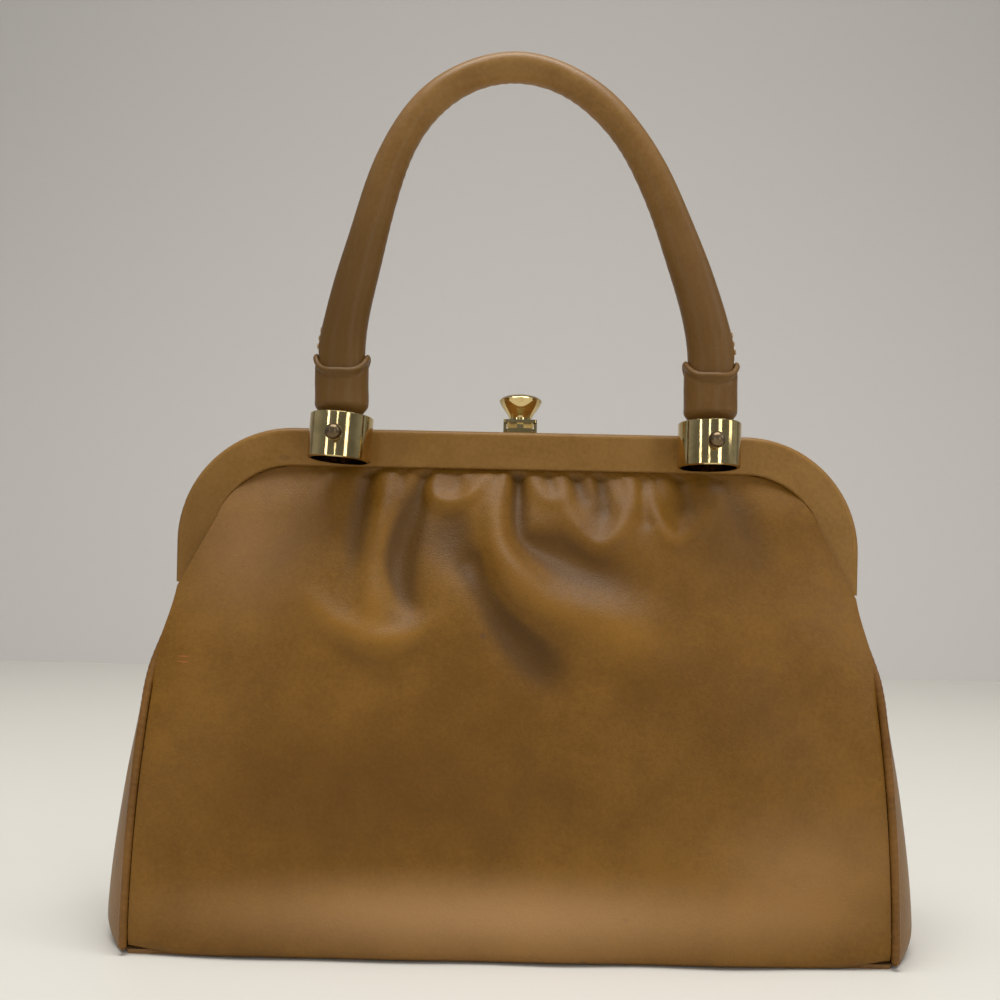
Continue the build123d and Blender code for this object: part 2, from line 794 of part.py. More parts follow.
knob_foot = lever_bottom + clasp_lever_plate
knob_profile = make_face(
    [
        Polyline((0, 0), (knob_neck_radius, 0), (knob_neck_radius, 0.8)),
        Spline(
            (knob_neck_radius, 0.8),
            (0.72 * knob_radius, 0.36 * knob_height),
            (knob_radius, 0.76 * knob_height),
            tangents=((0.4, 1), (0.35, 1)),
        ),
        Spline(
            (knob_radius, 0.76 * knob_height),
            (0.7 * knob_radius, 0.92 * knob_height),
            (0, knob_height),
            tangents=((-0.6, 1), (-1, 0)),
        ),
        Line((0, knob_height), (0, 0)),
    ]
)
knob = revolve(Plane.XZ * knob_profile, axis=Axis.Z)
save(Pos(0, knob_depth, knob_foot) * knob, "clasp_knob")
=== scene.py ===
import math

import bpy
import numpy as np
from mathutils import Matrix, Vector


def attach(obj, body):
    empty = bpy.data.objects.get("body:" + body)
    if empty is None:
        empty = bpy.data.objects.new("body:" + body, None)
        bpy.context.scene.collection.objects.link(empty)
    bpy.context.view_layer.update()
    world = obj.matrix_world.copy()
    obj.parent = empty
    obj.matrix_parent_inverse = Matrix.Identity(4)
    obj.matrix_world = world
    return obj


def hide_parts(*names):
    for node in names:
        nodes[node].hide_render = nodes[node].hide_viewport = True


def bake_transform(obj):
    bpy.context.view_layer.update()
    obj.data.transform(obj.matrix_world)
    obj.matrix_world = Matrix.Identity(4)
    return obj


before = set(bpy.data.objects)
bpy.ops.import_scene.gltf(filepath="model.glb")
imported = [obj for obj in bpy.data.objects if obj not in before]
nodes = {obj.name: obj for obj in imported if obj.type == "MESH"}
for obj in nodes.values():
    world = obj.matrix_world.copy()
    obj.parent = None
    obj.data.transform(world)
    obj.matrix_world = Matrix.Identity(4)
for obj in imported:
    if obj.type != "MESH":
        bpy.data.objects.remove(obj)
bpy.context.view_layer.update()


# Front and back panels: each one piece of soft calf leather, gathered by hand into the frame's channel,
# falling in long folds to a full belly and turned under at the base. Piped to the gussets at the sides.


def skin(name, rings, closed=False):
    """Mesh from rings of points in mm: quads between neighbours, ends zipped shut, or joined when closed."""
    count, size = rings.shape[:2]
    index = np.arange(count * size).reshape(count, size)
    around = np.roll(index, -1, axis=1)
    ahead = np.roll(index, -1, axis=0) if closed else index[1:]
    over = np.roll(around, -1, axis=0) if closed else around[1:]
    rows = count if closed else count - 1
    quads = [np.stack([index[:rows], around[:rows], over, ahead], axis=-1).reshape(-1, 4)]
    if not closed:
        near = np.arange(size // 2 - 1)
        for row, turn in ((0, 1), (count - 1, -1)):
            strip = np.stack([near, size - 1 - near, size - 2 - near, near + 1], axis=-1)
            quads.append(row * size + strip[:, ::turn])
    faces = np.concatenate(quads)
    mesh = bpy.data.meshes.new(name)
    mesh.vertices.add(count * size)
    mesh.vertices.foreach_set("co", (rings.reshape(-1) * 0.001).astype(np.float32))
    mesh.loops.add(faces.size)
    mesh.loops.foreach_set("vertex_index", faces.reshape(-1).astype(np.int32))
    mesh.polygons.add(len(faces))
    mesh.polygons.foreach_set("loop_start", np.arange(0, faces.size, 4, dtype=np.int32))
    mesh.update(calc_edges=True)
    mesh.shade_smooth()
    mesh.set_sharp_from_angle(angle=math.radians(55))
    piece = bpy.data.objects.new(name, mesh)
    bpy.context.scene.collection.objects.link(piece)
    return piece


def sheet_rings(outer, inner):
    """Thin closed rings from the outer and inner face's rows of points."""
    return np.concatenate([outer, inner[:, ::-1]], axis=1)


def grid(rows, columns):
    """Two arrays over a grid, from one value for each row and one for each column."""
    return rows[:, None] + 0 * columns[None, :], columns[None, :] + 0 * rows[:, None]


def smooth(t):
    """Ease from 0 to 1 with level ends: three squares less two cubes."""
    t = np.clip(t, 0, 1)
    return t * t * (3 - 2 * t)


def bell(gap):
    """1 at no distance and falling off to both sides: e to the power of minus the square."""
    return np.exp(-(gap**2))


class Field:
    """One value over a surface in the material being made, with Python's own arithmetic on it."""

    tree = None

    def __init__(self, socket):
        self.socket = socket

    @classmethod
    def node(cls, kind, out=0, settings=None, **inputs):
        """Any node: settings are its options, inputs its sockets by name, with _ for a space."""
        made = cls.tree.nodes.new(kind)
        for key, value in (settings or {}).items():
            setattr(made, key, value)
        for key, value in inputs.items():
            cls.put(made.inputs[key.replace("_", " ")], value)
        return cls(made.outputs[out])

    @classmethod
    def place(cls, coordinates="Object"):
        """The place of the point being shaded, on the object unless named otherwise."""
        return cls.node("ShaderNodeTexCoord", out=coordinates)

    @classmethod
    def put(cls, socket, value):
        """Link a field to a socket, or set a plain value on it."""
        if isinstance(value, Field):
            cls.tree.links.new(value.socket, socket)
        else:
            socket.default_value = value

    def axes(self, names):
        """The parts of a place along the named axes."""
        apart = Field.node("ShaderNodeSeparateXYZ", Vector=self).socket.node
        return [Field(apart.outputs[name]) for name in names]

    def join(self, operation, *others, turned=False):
        """A math node on this value and others."""
        made = self.tree.nodes.new("ShaderNodeMath")
        made.operation = operation
        values = (self, *others)
        for socket, value in zip(made.inputs, reversed(values) if turned else values):
            self.put(socket, value)
        return Field(made.outputs[0])

    def __add__(self, other):
        return self.join("ADD", other)

    def __sub__(self, other):
        return self.join("SUBTRACT", other)

    def __rsub__(self, other):
        return self.join("SUBTRACT", other, turned=True)

    def __mul__(self, other):
        return self.join("MULTIPLY", other)

    def __truediv__(self, other):
        return self.join("DIVIDE", other)

    def __pow__(self, other):
        return self.join("POWER", other)

    __radd__ = __add__
    __rmul__ = __mul__

    def ease(self, low, high):
        """0 below low, 1 above high, smooth between."""
        return Field.node(
            "ShaderNodeMapRange", settings={"interpolation_type": "SMOOTHSTEP"},
            Value=self, From_Min=low, From_Max=high,
        )


def noise(scale, detail=3.0, place=None, roughness=0.55):
    """Fractal noise of the place on the object, about 0.5 in the middle."""
    place = place or Field.place()
    return Field.node("ShaderNodeTexNoise", Vector=place, Scale=scale, Detail=detail, Roughness=roughness)


def tint(factor, below, above):
    """Colour that goes from below to above with a factor."""
    made = Field.tree.nodes.new("ShaderNodeMix")
    made.data_type = "RGBA"
    Field.put(made.inputs[0], factor)
    for socket, value in ((made.inputs[6], below), (made.inputs[7], above)):
        Field.put(socket, value if isinstance(value, Field) else (*value, 1.0))
    return Field(made.outputs[2])


def finish(name, **fixed):
    """New material with one surface shader. Fixed values are set on its own sockets."""
    material = bpy.data.materials.new(name)
    material.use_nodes = True
    Field.tree = material.node_tree
    surface = material.node_tree.nodes["Principled BSDF"]
    for key, value in fixed.items():
        surface.inputs[key.replace("_", " ")].default_value = value
    return material, surface


def relief(surface, height, distance):
    """Bump the surface by a height field, distance in metres for a height of 1."""
    bump = Field.node("ShaderNodeBump", Height=height, Distance=distance, Strength=1.0)
    Field.put(surface.inputs["Normal"], bump)


def leather(name, deep, light, marks_and_painted_light=(), folds=False, pores=0.00009, gloss=0.42):
    """Satin calf: mottled between two tones, with painted shade in its folds and a painted highlight on their
    ridges, pores as relief.

    Each mark is an oval (x, z, half width, half height in metres, strength, colour): ragged where it is small,
    fading out slowly where it is broad: a darker or paler stretch of the leather, painted shade or a painted
    highlight."""
    material, surface = finish(name, Coat_Roughness=0.40, Specular_IOR_Level=0.17, Coat_IOR=1.35)
    place = Field.place()
    broad = noise(14.0, 2.0, place)
    patch = noise(70.0, 4.0, place)
    fine = noise(620.0, 3.0, place, 0.6)
    tone = (broad * 0.45 + patch * 0.3 + fine * 0.25).ease(0.34, 0.66)
    colour = tint(tone, deep, light)
    if folds:
        # Painted shade in the folds and a painted highlight on their ridges, by how deep each fold is
        inward = Field.node("ShaderNodeAttribute", out="Fac", settings={"attribute_name": "inward"})
        colour = tint(inward.ease(0.05, 0.9) * 0.7, colour, tuple(0.38 * c for c in deep))
        colour = tint((0.0 - inward).ease(0.1, 0.9) * 0.45, colour, tuple(1.35 * c for c in light))
    small = 0.01
    for x, z, across, up, strength, shade in marks_and_painted_light:
        sideways, upward = place.axes("XZ")
        reach = ((sideways - x) / across) ** 2.0 + ((upward - z) / up) ** 2.0
        if across < small:
            cover = 1.0 - (reach + noise(500.0, 2.0, place) * 0.7 - 0.35).ease(0.4, 1.3)
        else:
            cover = 1.0 - reach.join("SQRT").ease(0.0, 1.6)
        colour = tint(cover * strength, colour, shade)
    worn = patch.ease(0.5, 0.75)
    Field.put(surface.inputs["Base Color"], colour)
    Field.put(surface.inputs["Roughness"], gloss + worn * 0.1 + (fine - 0.5) * 0.12)
    Field.put(surface.inputs["Coat Weight"], 0.10 - worn * 0.05)
    cells = Field.node("ShaderNodeTexVoronoi", out="Distance", Vector=place, Scale=1250.0)
    warp = noise(260.0, 4.0, place, 0.6)
    relief(surface, cells.ease(0.0, 0.6) * 0.6 + fine * 0.5 + warp * 1.6, pores)
    return material


# Heights in mm: the turn under the base, the seams' top, the arch's corner, the bar's lower edge
BASE_TURN, SEAM_TOP, CORNER_LINE, PANEL_TOP = 4.5, 133.0, 160.5, 180.5
# The side seams' half width and half depth, each at the base and at the seams' top
SEAM_WIDTHS, SEAM_DEPTHS = (138.5, 135.0), (42.0, 13.1)
SEAM_DRAWN_IN = 3.6
# The panel's edge: half width over the arm's foot and at the corner line, then round the arch to the bar
SLANT_FOOT, SLANT_HEAD, BAR_HALF = 131.4, 116.3, 88.0
ARCH_CORNER_Z, ARCH_CORNER_RADIUS = 150.5, 30.1
# The panel's edge stays this far inside the seam low down, and comes out over the piping further up
PANEL_GAP, TUCK_START, TUCK_HEIGHT = 1.8, 92.0, 26.0
# The panel's half depth at the bar and in the middle of the base, and its thickness
BAR_DEPTH, BELLY_DEPTH, PANEL_THICK = 8.8, 45.0, 1.6
# A fold this deep gets the full painted shade, and a ridge this high the full painted highlight
FOLD_DEPTH = 3.2
ROWS, COLUMNS, TURN_ROWS = 164, 240, 8


def seam_at(z):
    """Half width and half depth between the side seams at a height.

    Both lean in with the square of the height, and the width is drawn in a little more towards the top."""
    share = (np.minimum(z, SEAM_TOP) / SEAM_TOP) ** 2
    wide, deep = [base + (top - base) * share for base, top in (SEAM_WIDTHS, SEAM_DEPTHS)]
    return wide - SEAM_DRAWN_IN * smooth((z - 100) / 32), deep


def panel_edge(z):
    """Half width and depth of a panel's edge: the side seam, a slant over the arm, round the arch's corner."""
    wide, deep = seam_at(z)
    wide = wide - PANEL_GAP * (1 - smooth((z - TUCK_START) / TUCK_HEIGHT))
    slant = SLANT_FOOT + (SLANT_HEAD - SLANT_FOOT) * (z - SEAM_TOP) / (CORNER_LINE - SEAM_TOP)
    corner = BAR_HALF + np.sqrt(np.maximum(ARCH_CORNER_RADIUS**2 - (z - ARCH_CORNER_Z) ** 2, 0))
    wide = np.where(z > SEAM_TOP, slant, wide)
    wide = np.where(z > CORNER_LINE, corner, wide)
    wide = np.where(z > PANEL_TOP, BAR_HALF, wide)
    return wide, deep + (BAR_DEPTH - deep) * smooth((z - CORNER_LINE) / 19.3)


def along_line(x, z, line):
    """How much a fold draws in: its depth times a bell of the distance from its line.

    The line's points are (x, z, half width, depth). It bends smoothly through them, by the cubic through each
    four neighbours."""
    knots = np.array([line[0], *line, line[-1]], float)
    bent = [line[0]]
    for before, start, end, after in zip(knots, knots[1:], knots[2:], knots[3:]):
        square = 2 * before - 5 * start + 4 * end - after
        cube = 3 * start - before - 3 * end + after
        for t in (0.2, 0.4, 0.6, 0.8, 1.0):
            bent.append(start + 0.5 * ((end - before) * t + square * t**2 + cube * t**3))
    most = np.zeros_like(x)
    for (x0, z0, width0, depth0), (x1, z1, width1, depth1) in zip(bent, bent[1:]):
        span = (x1 - x0) ** 2 + (z1 - z0) ** 2
        share = np.clip(((x - x0) * (x1 - x0) + (z - z0) * (z1 - z0)) / span, 0, 1)
        gap = np.hypot(x - x0 - share * (x1 - x0), z - z0 - share * (z1 - z0))
        push = (depth0 + (depth1 - depth0) * share) * bell(gap / (width0 + (width1 - width0) * share))
        most = np.where(np.abs(push) > np.abs(most), push, most)
    return most


def panel_inward(x, z, lines, creases, seed):
    """How far the leather is drawn in: long folds, short creases at the frame, slow hollows of the hide.

    A crease is (x at the bar, lean, length, depth): a bell across, fading downwards."""
    inward = sum(along_line(x, z, line) for line in lines)
    drop = np.maximum(PANEL_TOP + 1 - z, 0)
    for start, lean, length, depth in creases:
        width = 1.7 + 0.16 * drop
        inward = inward + depth * np.exp(-drop / length - ((x - start - lean * drop) / width) ** 2)
    draws = np.random.default_rng(seed)
    for _ in range(14):
        turn, size = draws.uniform(0, math.pi), draws.uniform(38, 80)
        course = x * math.cos(turn) + z * math.sin(turn)
        inward = inward + 0.16 * np.sin(course * 2 * math.pi / size + draws.uniform(0, 6.3))
    return inward * smooth(drop / 4.0)


def panel_piece(name, lines, creases, seed, side):
    """A panel's closed shell: rows up from the base edge, side is -1 in front and 1 behind.

    Its middle falls from the bar with the cube of the height, its edges lie on the seams, and the fourth power
    of the share across leads from one to the other. The foot turns under on a quarter circle."""
    turn = np.linspace(90, 0, TURN_ROWS + 1)[:-1]
    upright = BASE_TURN + (PANEL_TOP - BASE_TURN) * np.linspace(0, 1, ROWS)
    in_channel = [181.4, 182.4, 183.8]
    heights = np.concatenate([np.full(TURN_ROWS, BASE_TURN), upright, in_channel])
    angles = np.radians(np.concatenate([turn, np.zeros(len(heights) - TURN_ROWS)]))[:, None]
    z, across = grid(heights, np.linspace(-1, 1, COLUMNS))
    wide, deep = panel_edge(z)
    x = across * wide
    rise = np.minimum((z - BASE_TURN) / (PANEL_TOP - BASE_TURN), 1)
    belly = BAR_DEPTH + (BELLY_DEPTH - BAR_DEPTH) * (1 - rise**3)
    inward = panel_inward(x, z, lines, creases, seed) * (1 - across**8)
    hollow = 2.4 * bell((z - 46) / 20) - 1.0 * bell((z - 13) / 10)
    out = belly + (deep - belly) * across**4 - inward - hollow * (1 - across**4)
    slope = np.gradient(belly, axis=0) / np.maximum(np.gradient(z, axis=0), 0.1)
    thick = PANEL_THICK * np.sqrt(1 + np.minimum(slope * smooth((PANEL_TOP - z) / 10), 3) ** 2)
    lift = 4.4 * smooth((np.abs(x) - 108) / 31) ** 2 * np.exp(-z / 14)
    middle = BELLY_DEPTH - BASE_TURN
    faces = []
    for depth, radius in ((out, BASE_TURN), (out - thick, BASE_TURN - PANEL_THICK)):
        y = middle + (depth - middle) * np.cos(angles)
        faces.append(np.stack([x, side * y, z - radius * np.sin(angles) + lift], axis=-1))
    if side > 0:
        faces = [face[:, ::-1] for face in faces]
        inward = inward[:, ::-1]
    piece = skin(name, sheet_rings(*faces))
    # The folds' depth as a share, which sets the painted shade and painted highlight in the leather's colour
    shares = sheet_rings(inward, inward) / FOLD_DEPTH
    attribute = piece.data.attributes.new("inward", "FLOAT", "POINT")
    attribute.data.foreach_set("value", shares.reshape(-1).astype(np.float32))
    return piece


# The front's folds: points (x, z, half width, depth) in mm, a ridge has a depth below 0
valley_left = ((-59, 178, 4.5, 1.8), (-60, 161, 5.5, 2.4), (-60, 141, 6, 1.6), (-59, 130, 6, 0.5))
ridge_left = (
    (-50, 177, 5, -0.6), (-52, 165, 5, -1.2), (-53, 145, 6, -2.2), (-52, 130, 8, -3), (-49, 118, 9, -2.4),
)
valley_beside = (
    (-37, 177, 3.5, 2.2), (-40, 163, 5, 2.9), (-45, 145, 7, 3.8), (-43, 133, 6.5, 2.7), (-37, 126, 5, 0.8),
)
crescent = (
    (-75, 128, 5, -1), (-66, 120, 6, -2.4), (-50, 113, 6.5, -3.2), (-38, 116, 6, -2.4), (-29, 124, 5, -0.8),
)
swag_left = (
    (-36, 177, 3, -0.8), (-33, 170, 3.2, -1.8), (-27, 167, 3.6, -2.2),
    (-19, 170, 3.2, -1.8), (-14, 177, 3, -0.8),
)
hollow_middle = ((-26, 161, 9, 2), (-23, 153, 11, 2.8), (-19, 145, 9, 2.4))
valley_long = ((-16, 143, 6, 2.6), (-12, 133, 6.5, 3.8), (-5, 122, 7, 4), (8, 108, 8.5, 2.8), (18, 96, 9, 0.5))
ridge_long = (
    (-7, 177, 5, -1.6), (-7, 157, 7, -3), (-2, 143, 8, -3.6), (9, 130, 9, -3.4),
    (30, 123, 10, -2.8), (47, 115, 12, -1.8), (66, 100, 14, -0.4),
)
valley_right = (
    (0, 177, 3.5, 2.4), (-1, 160, 4.5, 3.4), (3, 151, 6, 3.6), (18, 146, 9, 3.2),
    (40, 138, 11, 2.4), (65, 128, 13, 0.3),
)
swag_middle = (
    (16, 176, 3.4, -0.8), (19, 164, 4, -1.6), (25, 154, 4.6, -2.3), (31, 151, 4.8, -2.6),
    (37, 155, 4.4, -2.3), (42, 166, 4, -1.4), (45, 175, 3.4, -0.6),
)
swag_right = (
    (50, 170, 3.4, -0.9), (55, 159, 4, -1.8), (60, 154, 4.2, -2.2), (68, 159, 4.2, -1.8),
    (73, 167, 4, -1.2), (79, 174, 3.6, -0.5),
)
swag_insides = (
    ((23, 177, 3, 1.5), (25, 170, 3.8, 1)),
    ((33, 177, 3.4, 1.4), (33, 165, 5, 1.6)),
    ((62, 177, 5, 1), (63, 166, 5, 1.4)),
)
swag_small = ((5, 177, 3, -0.8), (11, 169, 3.6, -1.4), (17, 170, 3, -0.4))
notch = ((48, 177, 2.6, 1.6), (49, 161, 3, 1))
dips_beside_arch = (
    ((-85, 173, 7, 0.8), (-87, 151, 9, 1.2), (-95, 130, 11, 0.3)),
    ((85, 173, 5, 1), (91, 161, 8, 1), (104, 141, 10, 0.2)),
)
front_lines = (
    valley_left, ridge_left, valley_beside, crescent, swag_left, hollow_middle, valley_long, ridge_long,
    valley_right, swag_middle, swag_right, *swag_insides, swag_small, notch, *dips_beside_arch,
)
front_creases = (
    (-76, -0.25, 14, 1.2), (-57, -0.1, 12, 1.2), (-46, 0.05, 20, 1.6), (-36, -0.05, 14, 1.3),
    (-28, 0.0, 9, 0.9), (-24, 0.05, 16, 1.3), (-9, 0.1, 14, 1.2), (-2, 0.15, 18, 1.4),
    (11, 0.2, 10, 1.1), (20, 0.3, 9, 0.8), (30, 0.2, 14, 1.4), (37, 0.3, 10, 1.2),
    (52, 0.3, 12, 1.2), (61, 0.35, 12, 1.1), (76, 0.45, 14, 1.2),
)
back_lines = (
    ((-44, 170, 6, 1.2), (-42, 150, 8, 2.4), (-38, 128, 9, 1.2)),
    ((-14, 172, 6, -1.2), (-12, 150, 8, -2.2), (-8, 128, 9, -1.0)),
    ((14, 170, 6, 1.4), (12, 148, 8, 2.6), (8, 120, 9, 1.2)),
    ((44, 170, 6, -1.2), (48, 150, 9, -1.8), (54, 132, 10, -0.6)),
)
back_places = (-74, -60, -47, -34, -22, -12, 2, 14, 27, 38, 50, 62, 74)
back_creases = tuple((start, start * 0.003, 13, 1.2) for start in back_places)

# Marks of use: two scratches, ink and grease dots, a paler patch low on the right, handled darker stretches.
# Painted highlights: a pale band low across the belly and a pale upper left shoulder.
tan_deep, tan_light = (0.130, 0.055, 0.004), (0.200, 0.091, 0.011)
scratch_red, spot_brown, grease = (0.33, 0.10, 0.03), (0.10, 0.045, 0.015), (0.12, 0.048, 0.003)
panel_marks_and_highlights = (
    (-0.1235, 0.1065, 0.0026, 0.0003, 0.7, scratch_red),
    (-0.1235, 0.1045, 0.0024, 0.0003, 0.7, scratch_red),
    (-0.136, 0.073, 0.0011, 0.0011, 0.8, (0.08, 0.035, 0.015)),
    (-0.012, 0.1165, 0.0010, 0.0012, 0.7, spot_brown),
    (0.041, 0.017, 0.0011, 0.0010, 0.8, spot_brown),
    (0.0265, 0.0015, 0.0012, 0.0010, 0.7, spot_brown),
    (0.0785, 0.176, 0.005, 0.0035, 0.35, spot_brown),
    (-0.139, 0.013, 0.0018, 0.006, 0.5, (0.09, 0.04, 0.015)),
    # Painted highlight: a pale band low across the belly, standing in for the table's light on it
    (-0.004, 0.0165, 0.10, 0.013, 0.75, (0.40, 0.22, 0.09)),
    (0.105, 0.034, 0.034, 0.022, 0.4, (0.36, 0.19, 0.07)),
    # Painted highlight on the upper left shoulder
    (-0.105, 0.152, 0.026, 0.03, 0.35, (0.34, 0.19, 0.09)),
    (-0.060, 0.062, 0.06, 0.024, 0.4, grease),
    (0.022, 0.145, 0.05, 0.022, 0.4, grease),
)
panel_leather = leather("panel_leather", tan_deep, tan_light, panel_marks_and_highlights, folds=True)
front_panel = panel_piece("front_panel_leather", front_lines, front_creases, 4, -1)
back_panel = panel_piece("back_panel_leather", back_lines, back_creases, 9, 1)
for piece, half in ((front_panel, "front"), (back_panel, "back")):
    piece.data.materials.append(panel_leather)
    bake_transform(piece)
    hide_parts(half + "_panel")


# Gussets: a soft strip at each side, full low down, drawn inside the arms and folded inwards towards the top.
# The folded top is two leaves that meet on the fold.

# Half widths in mm: full low down, at the inner edge of the fold, and of the strip's edge inside the arms
GUSSET_FULL, GUSSET_FOLD, GUSSET_IN_ARM = 155.5, 95.0, 116.5
GUSSET_THICK, GUSSET_SEAM_GAP = 1.4, 1.08
LEAF_DEPTH = 4.9
STRIP_TOP, LEAF_FOOT, LEAF_TOP = 128.5, 127.5, 165.0


def gusset_middle(z):
    """Half the width between the gussets' middle lines: round at the foot, leaning in, then folded inwards."""
    foot = np.sqrt(np.maximum(0, 1 - (1 - np.minimum(z / 9, 1)) ** 2))
    leant = np.clip((z - 10) / 97, 0, 1)
    full = GUSSET_FULL - 7 * (1 - foot) - 13 * leant**1.4
    return full + (GUSSET_FOLD - full) * smooth((z - 96) / 46)


def gusset_rings(heights, shares):
    """Rings of a gusset strip on the right, for heights and shares from the front edge to the back.

    It bows out from its edges with about the square of the share across, and is crimped where the fold
    starts."""
    z, across = grid(heights, shares)
    wide, deep = seam_at(z)
    inside = smooth((z - 108) / 14)
    edge_x = wide + GUSSET_SEAM_GAP + (GUSSET_IN_ARM - wide - GUSSET_SEAM_GAP) * inside
    edge_y = deep - PANEL_GAP + (LEAF_DEPTH - deep + PANEL_GAP) * inside
    power = 2 + 0.5 * smooth(1 - z / 100)
    crimp = 0.35 * np.sin(z / 6.5 + 2 * across) * bell((z - 96) / 26) * (1 - across**2)
    x = edge_x + (gusset_middle(z) - edge_x) * (1 - np.abs(across) ** power) + crimp
    y = edge_y * across
    tilt_x, tilt_y = np.gradient(y, axis=1), -np.gradient(x, axis=1)
    length = np.hypot(tilt_x, tilt_y)
    outer = np.stack([x, y, z], axis=-1)
    inner = np.stack([x - GUSSET_THICK * tilt_x / length, y - GUSSET_THICK * tilt_y / length, z], axis=-1)
    return sheet_rings(outer, inner)


def other_side(rings):
    """The same rings on the left of the bag, turned so that they still face outwards."""
    return (rings * np.array([-1.0, 1.0, 1.0]))[:, ::-1]


gusset_leather = leather("gusset_leather", (0.145, 0.062, 0.007), (0.22, 0.105, 0.019))
strip_rows = np.concatenate([1 + 8 * np.linspace(0, 1, 12) ** 1.6, np.linspace(9, STRIP_TOP, 132)[1:]])
leaf_rows = np.linspace(LEAF_FOOT, LEAF_TOP, 44)
for name in ("right", "left"):
    strips = [(f"gusset_{name}_strip", strip_rows, np.linspace(-1, 1, 96), None)]
    for leaf, low, high in (("front", -1, 0), ("back", 0, 1)):
        strips.append((f"gusset_{name}_{leaf}_leaf", leaf_rows, np.linspace(low, high, 24), leaf))
    for piece_name, heights, shares, leaf in strips:
        rings = gusset_rings(heights, shares)
        piece = skin(piece_name, other_side(rings) if name == "left" else rings)
        piece.data.materials.append(gusset_leather)
        if leaf:
            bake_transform(piece)
        else:
            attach(piece, "bag_body")
            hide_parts("gusset_" + name)


# Piping: a thin cord wrapped in leather along each side seam, drawn tight by its stitches. Towards the top it
# tucks in behind the panel's edge.

PIPING_FOOT, PIPING_TOP, PIPING_RADIUS, PIPING_STITCH = 3.0, 129.5, 1.5, 2.6


def seam_curve(heights, front):
    """Points along the right side seam, front is -1 or 1 for the front or back seam."""
    wide, deep = seam_at(heights)
    tuck = smooth((heights - TUCK_START) / TUCK_HEIGHT)
    return np.stack([wide - 0.9 * tuck, front * (deep - 2.4 * tuck), heights], axis=-1)


def tube_rings(path, radius, steps, side=np.array([1.0, 0.0, 0.0])):
    """Rings round a path: circles square to it, of one radius, or one for each ring, or each ring and step."""
    along = np.gradient(path, axis=0)
    along /= np.linalg.norm(along, axis=1)[:, None]
    lean = side - along * (along @ side)[:, None]
    lean /= np.linalg.norm(lean, axis=1)[:, None]
    other = np.cross(along, lean)
    turn = np.linspace(0, 2 * math.pi, steps, endpoint=False)
    reach = np.broadcast_to(np.asarray(radius, float), (len(path), steps))[..., None]
    ring = lean[:, None] * np.cos(turn)[None, :, None] + other[:, None] * np.sin(turn)[None, :, None]
    return path[:, None] + reach * ring


piping_leather = leather("piping_leather", (0.11, 0.045, 0.007), (0.19, 0.086, 0.017), gloss=0.36)
piping_heights = np.linspace(PIPING_FOOT, PIPING_TOP, 260)
pinch = 0.05 * np.sin(piping_heights * 2 * math.pi / PIPING_STITCH) + 0.04 * np.sin(piping_heights / 5.1)
for half, front in (("front", -1), ("back", 1)):
    for side in ("right", "left"):
        rings = tube_rings(seam_curve(piping_heights, front), (PIPING_RADIUS + pinch)[:, None], 20)
        name = f"{half}_piping_{side}"
        piece = skin(name + "_cord", other_side(rings) if side == "left" else rings)
        piece.data.materials.append(piping_leather)
        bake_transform(piece)
        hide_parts(name)


# Base: the leather bottom stays as built, a stiff board lies on it, and a paper cord locks each panel in its
# channel. All are seen only from below or through the open mouth.
base_leather = leather("base_leather", (0.16, 0.075, 0.02), (0.27, 0.14, 0.05), gloss=0.5)
nodes["base_panel"].data.materials[0] = base_leather


def matt(name, deep, light, scale, bump, roughness=0.85):
    """Matt fibrous stuff: two tones mixed by fine noise, which is its relief too."""
    material, surface = finish(name, Roughness=roughness)
    fibre = noise(scale, 5.0, None, 0.7)
    Field.put(surface.inputs["Base Color"], tint(fibre.ease(0.3, 0.7), deep, light))
    relief(surface, fibre, bump)
    return material


nodes["base_board"].data.materials[0] = matt("grey_card", (0.25, 0.19, 0.13), (0.36, 0.29, 0.2), 900.0, 0.00005)
paper_cord = matt("paper_cord", (0.42, 0.34, 0.24), (0.55, 0.46, 0.34), 1400.0, 0.0001)
for node in ("front_filler_cord", "back_filler_cord"):
    nodes[node].data.materials[0] = paper_cord


# Lining: an inner bag of plain cloth in two walls, hemmed into both channels.
# Each wall's cut is 262 mm wide on average and 178 mm from hem to base.

# Clear of the seams' width and depth and of the gussets' middle, and the cloth's thickness, in mm
LINING_IN_WIDTH, LINING_IN_DEPTH, LINING_IN_GUSSET, LINING_THICK = 9.0, 6.0, 7.4, 0.8
LINING_EDGE = 0.05
LINING_FOOT, LINING_TOP = 3.7, 178.0


def lining_rings(side):
    """One wall of the lining, side is -1 in front and 1 behind: flat, with round ends, and a little slack."""
    heights = np.concatenate([np.linspace(LINING_FOOT, 30, 12), np.linspace(32, LINING_TOP, 74)])
    z, across = grid(heights, np.linspace(-1, 1, 150))
    wide, deep = seam_at(z)
    half_width = np.minimum(wide - LINING_IN_WIDTH, gusset_middle(z) - LINING_IN_GUSSET)
    depth = (deep - LINING_IN_DEPTH) * np.clip(1 - np.abs(across) ** 24, 0, 1) + LINING_EDGE
    slack = 0.5 * np.sin(across * 17 + z / 31) * smooth(z / 40) * (1 - across**4)
    x = across * half_width
    y = side * np.maximum(depth + slack * (depth > 3), LINING_EDGE)
    outer = np.stack([x, y, z], axis=-1)
    inner = np.stack([x * 0.994, y - side * np.minimum(LINING_THICK, 0.6 * np.abs(y)), z], axis=-1)
    if side > 0:
        outer, inner = outer[:, ::-1], inner[:, ::-1]
    return sheet_rings(outer, inner)


def woven(name, deep, light, threads):
    """Plain cloth: warp and weft as two sine fields across the place, one over the other in turn."""
    material, surface = finish(name, Roughness=0.8, Sheen_Weight=0.25)
    sideways, upward = Field.place().axes("XZ")
    weave = (sideways * threads).join("SINE") * (upward * threads).join("SINE") * 0.5 + 0.5
    Field.put(surface.inputs["Base Color"], tint((weave * 0.6 + noise(90.0) * 0.4).ease(0.2, 0.8), deep, light))
    relief(surface, weave, 0.00008)
    return material


